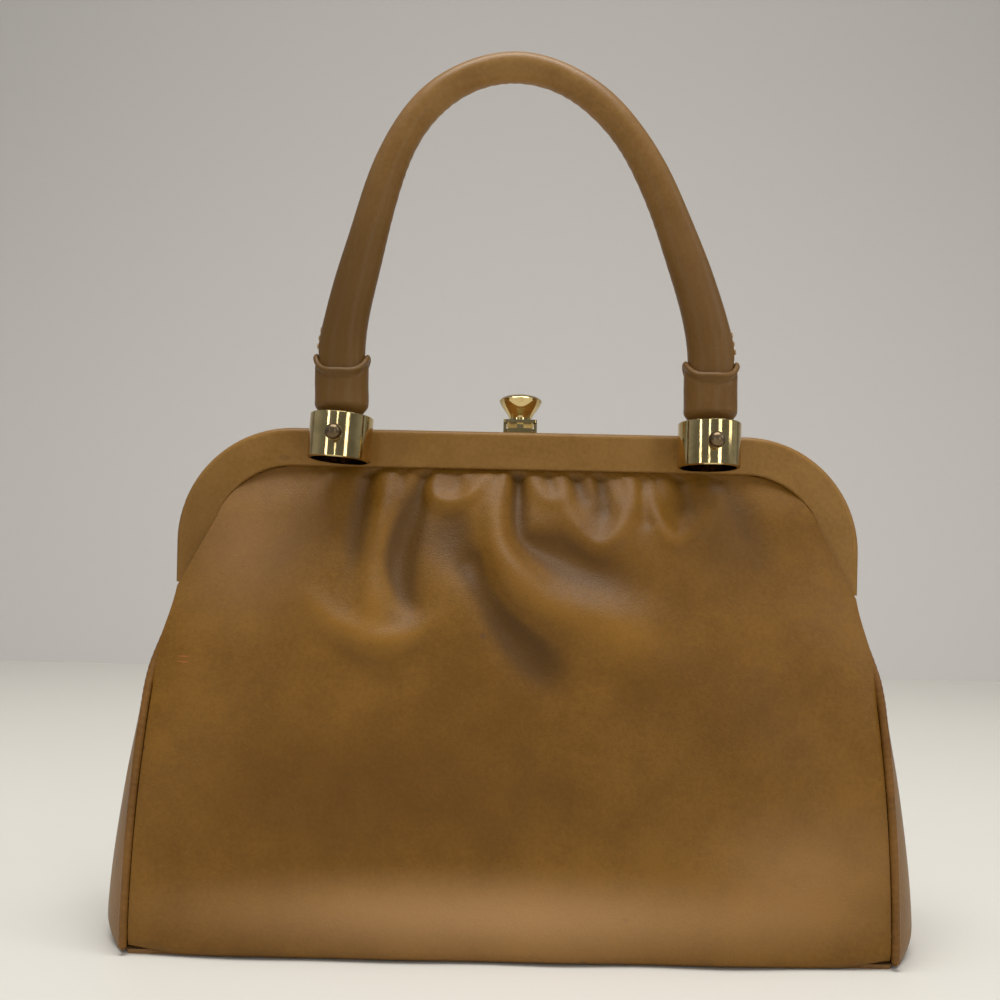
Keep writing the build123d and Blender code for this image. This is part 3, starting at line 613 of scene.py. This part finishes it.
lining_cloth = woven("lining_cloth", (0.36, 0.27, 0.17), (0.5, 0.4, 0.28), 5200.0)
for name, side in (("front", -1), ("back", 1)):
    piece = skin(f"lining_{name}_wall", lining_rings(side))
    piece.data.materials.append(lining_cloth)
    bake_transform(piece)
    if side < 0:
        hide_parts("lining")


# Frame: steel channels in wrapped leather, which keep their built shape. Pins and ears of plated steel.
stain = (0.12, 0.06, 0.02)
frame_marks = (
    (-0.0915, 0.1835, 0.0025, 0.0012, 0.4, stain), (0.1215, 0.142, 0.0012, 0.004, 0.4, stain),
    (-0.125, 0.155, 0.02, 0.03, 0.45, (0.115, 0.052, 0.008)),
)
frame_leather = leather(
    "frame_leather", (0.19, 0.090, 0.015), (0.27, 0.138, 0.033), frame_marks, pores=0.00005, gloss=0.36
)
for node in ("front_frame_cover", "back_frame_cover"):
    nodes[node].data.materials[0] = frame_leather


def metal(name, dark, bright, rough, tarnish, scratch=0.00001):
    """Polished or worn metal: tarnish clouds set the tone and the roughness, fine scratches are relief."""
    material, surface = finish(name, Metallic=1.0)
    cloud = noise(160.0, 4.0, None, 0.6)
    long = Field.node("ShaderNodeMapping", Vector=Field.place(), Scale=(1.0, 1.0, 0.12))
    hair = noise(2600.0, 2.0, long)
    Field.put(surface.inputs["Base Color"], tint(cloud.ease(0.35, 0.7) * tarnish, bright, dark))
    Field.put(surface.inputs["Roughness"], rough + cloud.ease(0.4, 0.8) * 0.12 * tarnish + (hair - 0.5) * 0.04)
    relief(surface, hair, scratch)
    return material


steel = metal("plated_steel", (0.25, 0.22, 0.19), (0.52, 0.5, 0.47), 0.3, 0.6)
channels = ("front_frame_channel", "back_frame_channel")
for node in (*channels, "hinge_pin_left", "hinge_pin_right", "pin_nut_left", "pin_nut_right"):
    nodes[node].data.materials[0] = steel


# Handle: calf rolled round a core, thick at the legs and slim over the arch, sewn along one line that starts on
# the outer side of each leg and winds round to the underside of the arch

# The legs stand half a span either side of a line a little right of the middle, and the arch sways left, in mm
HALF_SPAN, HANDLE_OFFSET, HANDLE_SWAY, HANDLE_Y = 69.5, 1.9, 6.9, -23.0
LEG_FOOT, LEG_TOP, ARCH_FOOT, ARCH_TOP = 203.0, 218.5, 219.0, 330.6
LEG_WIDTH, LEG_DEPTH, ARCH_WIDTH = 17.4, 13.6, 10.7
LEG_RINGS, ARCH_RINGS, RING_STEPS = 18, 470, 96
# The arch's shape: share of the half span against share of the rise
ARCH_SHAPE = ((1.0, 0.0), (0.955, 0.19), (0.859, 0.394), (0.696, 0.672), (0.423, 0.901))
# The seam: depth and half width of its groove, its raised lips, and the stitches beside it
GROOVE_DEPTH, GROOVE_WIDTH, LIP_RISE, LIP_AT, LIP_WIDTH = 0.55, 0.75, 0.3, 1.9, 1.1
STITCH_LENGTH, STITCH_THICK, STITCH_PITCH, STITCH_BESIDE, STITCH_OUT = 2.1, 0.38, 3.1, 1.75, 0.55
SEAM_ENDS = 20.0


def bent_line(points, first, last, count):
    """Smooth line through points with given end directions: cubics in chord length, evenly sampled."""
    points = np.asarray(points, float)
    chord = np.concatenate([[0], np.cumsum(np.linalg.norm(np.diff(points, axis=0), axis=1))])
    gap = np.diff(chord)
    size = len(points)
    system, target = np.zeros((size, size)), np.zeros((size, 3))
    system[0, 0] = system[-1, -1] = 1
    target[0], target[-1] = first, last
    for i in range(1, size - 1):
        system[i, i - 1 : i + 2] = gap[i], 2 * (gap[i - 1] + gap[i]), gap[i - 1]
        rises = (points[i] - points[i - 1]) / gap[i - 1], (points[i + 1] - points[i]) / gap[i]
        target[i] = 3 * (gap[i] * rises[0] + gap[i - 1] * rises[1])
    slopes = np.linalg.solve(system, target)
    at = np.linspace(0, chord[-1], count)
    i = np.clip(np.searchsorted(chord, at) - 1, 0, size - 2)
    t = ((at - chord[i]) / gap[i])[:, None]
    h = gap[i][:, None]
    return (
        (2 * t**3 - 3 * t**2 + 1) * points[i] + (t**3 - 2 * t**2 + t) * h * slopes[i]
        + (3 * t**2 - 2 * t**3) * points[i + 1] + (t**3 - t**2) * h * slopes[i + 1]
    )


def arch_points(side):
    """Points up the arch on one side, -1 or 1: the sway grows with the share of the rise to the power 1.5."""
    return [
        (
            HANDLE_OFFSET - HANDLE_SWAY * up**1.5 + side * HALF_SPAN * out,
            HANDLE_Y,
            ARCH_FOOT + (ARCH_TOP - ARCH_FOOT) * up,
        )
        for out, up in ARCH_SHAPE
    ]


def leg_points(side):
    """Points up one straight leg."""
    rise = np.linspace(LEG_FOOT, LEG_TOP, LEG_RINGS)
    return np.stack(
        [np.full(LEG_RINGS, HANDLE_OFFSET + side * HALF_SPAN), np.full(LEG_RINGS, HANDLE_Y), rise], axis=-1
    )


def handle_radius(place, row, turn):
    """The roll's radius and the distance from its seam, for shares of the arch, rings and angles round them.

    An oval that slims with a sine of the share, less the seam's groove, fine wrinkles inside the bend and slow
    unevenness all over."""
    slim = np.sin(math.pi * place) ** 1.2
    across_half = (LEG_WIDTH + (ARCH_WIDTH - LEG_WIDTH) * slim) / 2
    depth_half = (LEG_DEPTH + (ARCH_WIDTH - LEG_DEPTH) * slim) / 2
    radius = 1 / np.sqrt((np.cos(turn) / across_half) ** 2 + (np.sin(turn) / depth_half) ** 2)
    seam_turn = 0.25 - 2.1 * np.sin(math.pi * place) ** 0.7
    away = (turn - seam_turn + np.pi) % (2 * np.pi) - np.pi
    groove = away * radius
    radius = radius - GROOVE_DEPTH * bell(groove / GROOVE_WIDTH)
    radius = radius + LIP_RISE * bell((np.abs(groove) - LIP_AT) / LIP_WIDTH)
    wrinkle = 0.5 + 0.5 * np.sin(row * 0.75 + 2 * np.sin(row * 0.13))
    radius = radius - 0.16 * bell((turn - np.pi) / 0.9) * slim * wrinkle
    uneven = 0.10 * np.sin(row * 0.045 + 3 * turn) + 0.06 * np.sin(row * 0.11 - 2 * turn)
    return radius + uneven, away


arch_top = (HANDLE_OFFSET - HANDLE_SWAY, HANDLE_Y, ARCH_TOP)
arch_line = bent_line([*arch_points(-1), arch_top, *arch_points(1)[::-1]], (0, 0, 1), (0, 0, -1), ARCH_RINGS)
handle_path = np.concatenate([leg_points(-1), arch_line, leg_points(1)[::-1]])
row = np.arange(len(handle_path))
place = np.clip((row - LEG_RINGS) / (ARCH_RINGS - 1), 0, 1)
turn = np.linspace(0, 2 * math.pi, RING_STEPS, endpoint=False)
radius, away = handle_radius(place[:, None], row[:, None], turn[None, :])
along = np.gradient(handle_path, axis=0)
along /= np.linalg.norm(along, axis=1)[:, None]
depthwise = np.array([0.0, -1.0, 0.0])
sideways = np.cross(depthwise[None, :], along)
spokes = sideways[:, None] * np.cos(turn)[None, :, None] + depthwise * np.sin(turn)[None, :, None]
scuff = (0.13, 0.06, 0.02)
handle_scuffs_and_leg_shade = (
    (-0.079, 0.262, 0.0012, 0.004, 0.4, scuff), (0.0815, 0.246, 0.0010, 0.003, 0.4, scuff),
    # Painted shade: the two upright legs darkened, as they catch less of the light from above
    (-0.070, 0.235, 0.03, 0.085, 0.9, (0.085, 0.038, 0.005)),
    (0.072, 0.235, 0.03, 0.080, 0.75, (0.095, 0.042, 0.007)),
)
handle_leather = leather(
    "handle_leather", (0.19, 0.092, 0.020), (0.28, 0.148, 0.042), handle_scuffs_and_leg_shade, pores=0.00005, gloss=0.37
)
handle = skin("handle_roll_leather", handle_path[:, None] + radius[..., None] * spokes)
handle.data.materials.append(handle_leather)
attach(handle, "front_frame")
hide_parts("handle_roll")


def stitch_rings(centre, along, out):
    """One stitch as rings round its own line: a rod with round ends that dips in at both."""
    t = np.linspace(-1, 1, 9)
    path = centre + along * (t[:, None] * STITCH_LENGTH / 2) + out * (0.24 * (1 - t[:, None] ** 4))
    return tube_rings(path, (STITCH_THICK * np.sqrt(np.clip(1.02 - t**6, 0.02, 1)))[:, None], 8, side=out)


def thread_piece(name, stitches):
    """One mesh from many stitches."""
    merged = [skin(name, rings) for rings in stitches]
    bpy.ops.object.select_all(action="DESELECT")
    for one in merged:
        one.select_set(True)
    bpy.context.view_layer.objects.active = merged[0]
    bpy.ops.object.join()
    merged[0].name = name
    return merged[0]


seam_index = np.argmin(np.abs(away), axis=1)
spoke_at = spokes[row, seam_index]
length_along = np.concatenate([[0], np.cumsum(np.linalg.norm(np.diff(handle_path, axis=0), axis=1))])
stitches = []
for where in np.arange(SEAM_ENDS, length_along[-1] - SEAM_ENDS, STITCH_PITCH):
    i = int(np.searchsorted(length_along, where))
    out = spoke_at[i] * (radius[i, seam_index[i]] + STITCH_OUT)
    beside = np.cross(along[i], spoke_at[i]) * STITCH_BESIDE
    stitches.append(stitch_rings(handle_path[i] + out + beside, along[i], spoke_at[i]))
thread = thread_piece("handle_stitching", stitches)
thread.data.materials.clear()
thread.data.materials.append(matt("waxed_thread", (0.3, 0.18, 0.08), (0.42, 0.27, 0.13), 2600.0, 0.00004, 0.6))
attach(thread, "front_frame")


# Keepers: a short sleeve of the same leather over each end of the roll, its scooped rim turned over, its neck
# pushed into the barrel

# Heights in mm: the neck's foot, the rim at the sides and how far it scoops down in front and behind
KEEPER_FOOT, RIM_HIGH, RIM_SCOOP = 196.4, 221.4, 6.4
# Half width and half depth inside the neck, how much the sleeve is fuller, and its thickness
NECK_HALF, SLEEVE_FULLER, KEEPER_THICK, KEEPER_CLEAR = (5.8, 4.0), (2.9, 2.8), 1.2, 0.15
OUTER_RINGS, INNER_RINGS = 60, 40
angle = np.linspace(0, 2 * math.pi, 128, endpoint=False)[None, :]
rise = np.linspace(0, 1, OUTER_RINGS)
fall = np.linspace(0.985, 0.0, INNER_RINGS)
level = np.concatenate([rise, [1.015, 1.0], fall])[:, None]
outside = np.concatenate([np.ones(OUTER_RINGS), [0.5, 0.1], np.zeros(INNER_RINGS)])[:, None]
for name, side, sway in (("left", -1, 0.6), ("right", 1, -0.4)):
    scoop = RIM_SCOOP * np.clip(1 - (np.cos(angle) * 0.99) ** 4, 0, 1) ** 0.8
    rim = RIM_HIGH - scoop + sway * np.sin(angle)
    z = KEEPER_FOOT + (rim - KEEPER_FOOT) * level
    shoulder = smooth((z - 196.8) / 5.4)
    hem = 0.75 * bell((rim - z - 1.1) / 1.1) - 0.25 * bell((rim - z - 3.1) / 0.7)
    crimp = 0.22 * np.sin(angle * 3 + 1.3) * bell((z - 204.5) / 4.2)
    grow = KEEPER_CLEAR + outside * (KEEPER_THICK + hem + crimp)
    half_width, half_depth = [neck + fuller * shoulder + grow for neck, fuller in zip(NECK_HALF, SLEEVE_FULLER)]
    x = HANDLE_OFFSET + side * HALF_SPAN + half_width * np.cos(angle)
    y = HANDLE_Y + half_depth * np.sin(angle)
    piece = skin(f"handle_keeper_{name}_leather", np.stack([x, y, z], axis=-1), closed=True)
    piece.data.materials.append(handle_leather)
    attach(piece, "front_frame")
    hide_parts("handle_keeper_" + name)


# Barrels, pins and clasp: turned brass, polished bright, with dark patina left on the pins
brass = metal("polished_brass", (0.24, 0.15, 0.05), (0.66, 0.51, 0.24), 0.06, 0.4)
clasp_nodes = ("clasp_knob", "clasp_lever", "clasp_bracket", "clasp_catch", "clasp_hinge_pin")
for node in ("handle_barrel_left", "handle_barrel_right", *clasp_nodes):
    nodes[node].data.materials[0] = brass
bronze = metal("dark_bronze", (0.05, 0.035, 0.02), (0.20, 0.14, 0.08), 0.28, 0.9)
for node in ("handle_pin_left", "handle_pin_right"):
    nodes[node].data.materials[0] = bronze


# Stage: a pale table, a grey wall behind it with painted shade that darkens it towards its top, soft light from
# above and tall windows across the room, which the brass mirrors as upright bands

TABLE_EDGE = 1.42
BOX_FACES = [(0, 1, 3, 2), (4, 6, 7, 5), (0, 4, 5, 1), (2, 3, 7, 6), (0, 2, 6, 4), (1, 5, 7, 3)]


def slab_piece(name, low, high):
    """Flat box between two corners, in metres."""
    mesh = bpy.data.meshes.new(name)
    corners = [(x, y, z) for x in (low[0], high[0]) for y in (low[1], high[1]) for z in (low[2], high[2])]
    mesh.from_pydata(corners, [], BOX_FACES)
    piece = bpy.data.objects.new(name, mesh)
    bpy.context.scene.collection.objects.link(piece)
    return piece


def lamp(name, place, target, size, watts, colour=(1.0, 1.0, 1.0)):
    """Flat lamp of a width and a height that looks at a target."""
    light = bpy.data.lights.new(name, "AREA")
    light.shape = "RECTANGLE"
    light.size, light.size_y = size
    light.energy = watts
    light.color = colour
    made = bpy.data.objects.new(name, light)
    made.location = place
    made.rotation_euler = (Vector(target) - Vector(place)).to_track_quat("-Z", "Y").to_euler()
    bpy.context.scene.collection.objects.link(made)
    return made


table_pale = (0.665, 0.64, 0.58)
table_paint, painted = finish("pale_table", Roughness=0.55)
Field.put(painted.inputs["Base Color"], tint(noise(3.0), tuple(0.97 * c for c in table_pale), table_pale))
table = slab_piece("stage_table", (-4.0, -4.0, -0.02), (4.0, TABLE_EDGE, 0.0))
table.data.materials.append(table_paint)

wall_paint, painted = finish("grey_wall", Roughness=0.9)
(upward,) = Field.place().axes("Z")
# Painted shade: the wall's colour darkens towards its top
Field.put(painted.inputs["Base Color"], tint(upward.ease(-0.2, 1.3), (0.66, 0.63, 0.60), (0.47, 0.445, 0.42)))
wall = slab_piece("stage_wall", (-5.0, TABLE_EDGE, -1.0), (5.0, TABLE_EDGE + 0.02, 4.0))
wall.data.materials.append(wall_paint)

lamp("ceiling_lamp", (0.0, -0.30, 1.9), (0, 0.0, 0.1), (1.5, 0.9), 32.0, (1.0, 0.985, 0.96))
lamp("side_lamp", (1.4, -0.5, 0.9), (0, 0, 0.12), (0.35, 1.0), 3.0)
WINDOW_HEIGHT = 1.1
windows = (
    ("right", (1.0, -1.75, 0.55), 0.34, 4.6),
    ("middle", (-0.26, -2.0, 0.55), 0.12, 1.6),
    ("left", (-1.28, -1.55, 0.55), 0.22, 3.0),
)
for name, place, breadth, watts in windows:
    window = lamp("window_lamp_" + name, place, (0, 0, 0.2), (breadth, WINDOW_HEIGHT), watts)
    window.visible_camera = False

world = bpy.data.worlds.new("room")
world.use_nodes = True
Field.tree = world.node_tree
background = world.node_tree.nodes["Background"]
forward, upward = Field.place("Generated").axes("YZ")
level = 0.31 + upward.ease(0.1, 0.8) * 0.35 - (0.0 - forward).ease(0.0, 0.6) * 0.13
Field.put(background.inputs["Strength"], level)
background.inputs["Color"].default_value = (0.94, 0.97, 1.0, 1.0)
bpy.context.scene.world = world
bpy.context.scene.view_settings.view_transform = "Standard"


# Camera: level, before the bag's middle and turned a little about its own line of sight
EYE, EYE_TURN = (0, -0.400, 0.130), 1.2
camera = bpy.data.cameras.new("camera")
camera.lens = 36.0
camera.sensor_width = 36.0
camera.clip_start = 0.01
camera.shift_x, camera.shift_y = -0.0165, 0.100
eye = bpy.data.objects.new("camera", camera)
bpy.context.scene.collection.objects.link(eye)
look = Matrix.Rotation(math.radians(90), 4, "X") @ Matrix.Rotation(math.radians(EYE_TURN), 4, "Z")
eye.matrix_world = Matrix.Translation(EYE) @ look
bpy.context.scene.camera = eye
